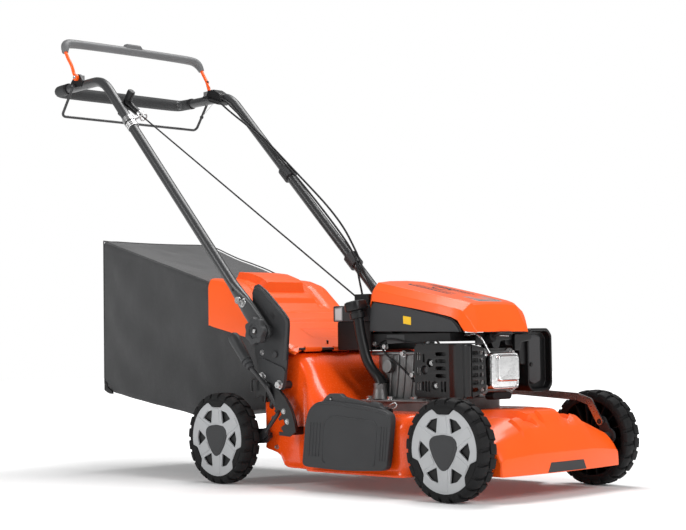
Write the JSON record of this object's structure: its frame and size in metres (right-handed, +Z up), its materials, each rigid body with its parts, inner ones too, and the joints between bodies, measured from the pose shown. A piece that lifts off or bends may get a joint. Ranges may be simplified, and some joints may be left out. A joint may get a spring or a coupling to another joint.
{
  "type": "self-propelled petrol lawn mower",
  "caption": "Walk-behind petrol lawn mower with steel deck, folding tube handle with two bails, recoil starter, rear fabric grass bag and linked height adjustment.",
  "frame": {"origin": "on the ground under the centre of the whole mower's bounding box, with the handle up", "axes": "+X forward, +Y to the mower's left, +Z up"},
  "size_m": [1.5375, 0.5312, 1.143],
  "materials": {
    "orange_steel": "gloss",
    "orange_plastic": "gloss",
    "grey_plastic": "satin",
    "black_plastic": "satin",
    "light_rim": "satin",
    "tyre": "matte",
    "zinc_steel": "satin",
    "dark_steel": "satin",
    "cast_aluminium": "cast",
    "blade_steel": "ground",
    "black_metal": "satin",
    "tube_paint": "powder coat",
    "foam": "matte",
    "bail_plastic": "satin",
    "bag_fabric": "woven",
    "rubber_black": "matte"
  },
  "bodies": {
    "chassis": {"deck_shell": "orange_steel", "front_cover": "orange_plastic", "trim_panels": "grey_plastic", "deck_bolts": "zinc_steel", "height_quadrant": "black_metal", "handle_brackets": "dark_steel", "hinge_rods": "dark_steel", "crankcase": "cast_aluminium", "cylinder": "cast_aluminium", "valve_cover": "cast_aluminium", "muffler": "black_metal", "muffler_guard": "black_plastic", "air_filter": "black_plastic", "carburettor": "cast_aluminium", "spark_plug": "rubber_black", "blower_shroud": "black_plastic", "engine_cover": "orange_plastic", "fuel_tank": "black_plastic", "oil_filler_tube": "black_plastic", "drive_belt": "rubber_black", "starter_rope": "rubber_black", "brake_cable": "rubber_black", "drive_cable": "rubber_black"},
    "crank": {"crankshaft": "blade_steel", "flywheel": "cast_aluminium", "blade_boss": "blade_steel", "blade": "blade_steel", "blade_bolt": "zinc_steel"},
    "gearbox_input": {"gearbox_pulley": "blade_steel"},
    "drive_axle": {"drive_shaft": "blade_steel"},
    "rear_axle": {"rear_axle": "dark_steel", "gearbox": "cast_aluminium", "height_lever": "dark_steel", "lever_grip": "grey_plastic"},
    "front_axle": {"front_axle": "dark_steel"},
    "height_link": {"height_link": "zinc_steel"},
    "side_cover": {"side_cover": "grey_plastic"},
    "rear_flap": {"rear_flap": "orange_plastic"},
    "grass_bag": {"grass_bag": "bag_fabric", "bag_frame": "dark_steel"},
    "handle": {"handle_tube": "tube_paint", "foam_grip": "foam", "handle_fittings": "zinc_steel", "cable_clips": "grey_plastic"},
    "upper_bail": {"upper_bail": "bail_plastic"},
    "lower_bail": {"lower_bail": "dark_steel"},
    "starter_grip": {"starter_grip": "black_plastic"},
    "recoil_reel": {"recoil_reel": "black_plastic"},
    "left_knob": {"left_knob": "grey_plastic"},
    "right_knob": {"right_knob": "grey_plastic"},
    "fuel_cap": {"fuel_cap": "black_plastic"},
    "oil_cap": {"oil_cap": "black_plastic"},
    "front_left_wheel": {"front_left_tyre": "tyre", "front_left_rim": "light_rim"},
    "front_right_wheel": {"front_right_tyre": "tyre", "front_right_rim": "light_rim"},
    "rear_left_wheel": {"rear_left_tyre": "tyre", "rear_left_rim": "light_rim"},
    "rear_right_wheel": {"rear_right_tyre": "tyre", "rear_right_rim": "light_rim"}
  },
  "joints": [
    {"name": "crank_spin", "type": "hinge", "parent": "chassis", "child": "crank", "pos_m": [0.39075, 0, 0.172], "axis": [0, 0, 1], "continuous": true},
    {"name": "height_adjust", "type": "hinge", "parent": "chassis", "child": "rear_axle", "pos_m": [0.06575, 0, 0.112], "axis": [0, 1, 0], "range_deg": [-10, 10], "deforming": ["drive_belt"]},
    {"name": "front_axle_swing", "type": "hinge", "parent": "chassis", "child": "front_axle", "pos_m": [0.72375, 0, 0.112], "axis": [0, 1, 0], "range_deg": [-18, 18]},
    {"name": "link_swing", "type": "hinge", "parent": "rear_axle", "child": "height_link", "pos_m": [0.03775, 0.198, 0.166], "axis": [0, 1, 0], "range_deg": [-10.5, 10.5]},
    {"name": "gearbox_input_spin", "type": "hinge", "parent": "rear_axle", "child": "gearbox_input", "pos_m": [0.00575, 0, 0.129], "axis": [0, 0, 1], "continuous": true},
    {"name": "drive_shaft_spin", "type": "hinge", "parent": "rear_axle", "child": "drive_axle", "pos_m": [-0.03925, 0, 0.105], "axis": [0, 1, 0], "continuous": true},
    {"name": "front_left_wheel_spin", "type": "hinge", "parent": "front_axle", "child": "front_left_wheel", "pos_m": [0.66375, 0.2409, 0.105], "axis": [0, 1, 0], "continuous": true},
    {"name": "front_right_wheel_spin", "type": "hinge", "parent": "front_axle", "child": "front_right_wheel", "pos_m": [0.66375, -0.2409, 0.105], "axis": [0, 1, 0], "continuous": true},
    {"name": "rear_left_wheel_spin", "type": "hinge", "parent": "rear_axle", "child": "rear_left_wheel", "pos_m": [-0.03925, 0.2409, 0.105], "axis": [0, 1, 0], "continuous": true},
    {"name": "rear_right_wheel_spin", "type": "hinge", "parent": "rear_axle", "child": "rear_right_wheel", "pos_m": [-0.03925, -0.2409, 0.105], "axis": [0, 1, 0], "continuous": true},
    {"name": "side_cover_hinge", "type": "hinge", "parent": "chassis", "child": "side_cover", "pos_m": [0.36075, -0.226, 0.184], "axis": [-1, 0, 0], "range_deg": [0, 85], "stiffness_Nm_per_rad": 0.6, "springref_deg": -22.92},
    {"name": "rear_flap_hinge", "type": "hinge", "parent": "chassis", "child": "rear_flap", "pos_m": [0.16875, 0, 0.309], "axis": [0, 1, 0], "range_deg": [0, 26], "stiffness_Nm_per_rad": 2, "springref_deg": -28.65},
    {"name": "bag_removal", "type": "slide", "parent": "chassis", "child": "grass_bag", "axis": [-1, 0, 0], "range_m": [0, 0.35]},
    {"name": "handle_fold", "type": "hinge", "parent": "chassis", "child": "handle", "pos_m": [0.09575, 0, 0.351], "axis": [0, 1, 0], "range_deg": [0, 110], "deforming": ["starter_rope", "brake_cable", "drive_cable"]},
    {"name": "upper_bail_pull", "type": "hinge", "parent": "handle", "child": "upper_bail", "pos_m": [-0.63725, 0, 1.026], "axis": [0, 1, 0], "range_deg": [-55, 0], "stiffness_Nm_per_rad": 1.2, "springref_deg": 28.65},
    {"name": "lower_bail_pull", "type": "hinge", "parent": "handle", "child": "lower_bail", "pos_m": [-0.65125, 0, 1.005], "axis": [0, 1, 0], "range_deg": [0, 38], "stiffness_Nm_per_rad": 1, "springref_deg": -28.65},
    {"name": "starter_pull", "type": "slide", "parent": "handle", "child": "starter_grip", "axis": [-0.4501, 0.15, 0.8803], "range_m": [0, 0.5], "stiffness_N_per_m": 10, "springref_m": -0.1},
    {"name": "recoil_reel_spin", "type": "hinge", "parent": "chassis", "child": "recoil_reel", "pos_m": [0.39075, 0, 0.399], "axis": [0, 0, 1], "range_deg": [0, 756]},
    {"name": "left_knob_turn", "type": "hinge", "parent": "chassis", "child": "left_knob", "pos_m": [0.09575, 0.256, 0.351], "axis": [0, 1, 0], "continuous": true},
    {"name": "right_knob_turn", "type": "hinge", "parent": "chassis", "child": "right_knob", "pos_m": [0.09575, -0.256, 0.351], "axis": [0, 1, 0], "continuous": true},
    {"name": "fuel_cap_turn", "type": "hinge", "parent": "chassis", "child": "fuel_cap", "pos_m": [0.24575, 0.04, 0.418], "axis": [0, 0, 1], "range_deg": [0, 90]},
    {"name": "oil_cap_turn", "type": "hinge", "parent": "chassis", "child": "oil_cap", "pos_m": [0.29475, -0.128, 0.374], "axis": [-0.1639, -0.0765, 0.9835], "range_deg": [0, 90]}
  ],
  "couplings": [
    {"joint": "front_axle_swing", "follows": "height_adjust", "ratio": 1.75},
    {"joint": "link_swing", "follows": "height_adjust", "ratio": -1},
    {"joint": "gearbox_input_spin", "follows": "crank_spin", "ratio": 0.71429},
    {"joint": "recoil_reel_spin", "follows": "starter_pull", "rad_per_m": 26.316}
  ]
}
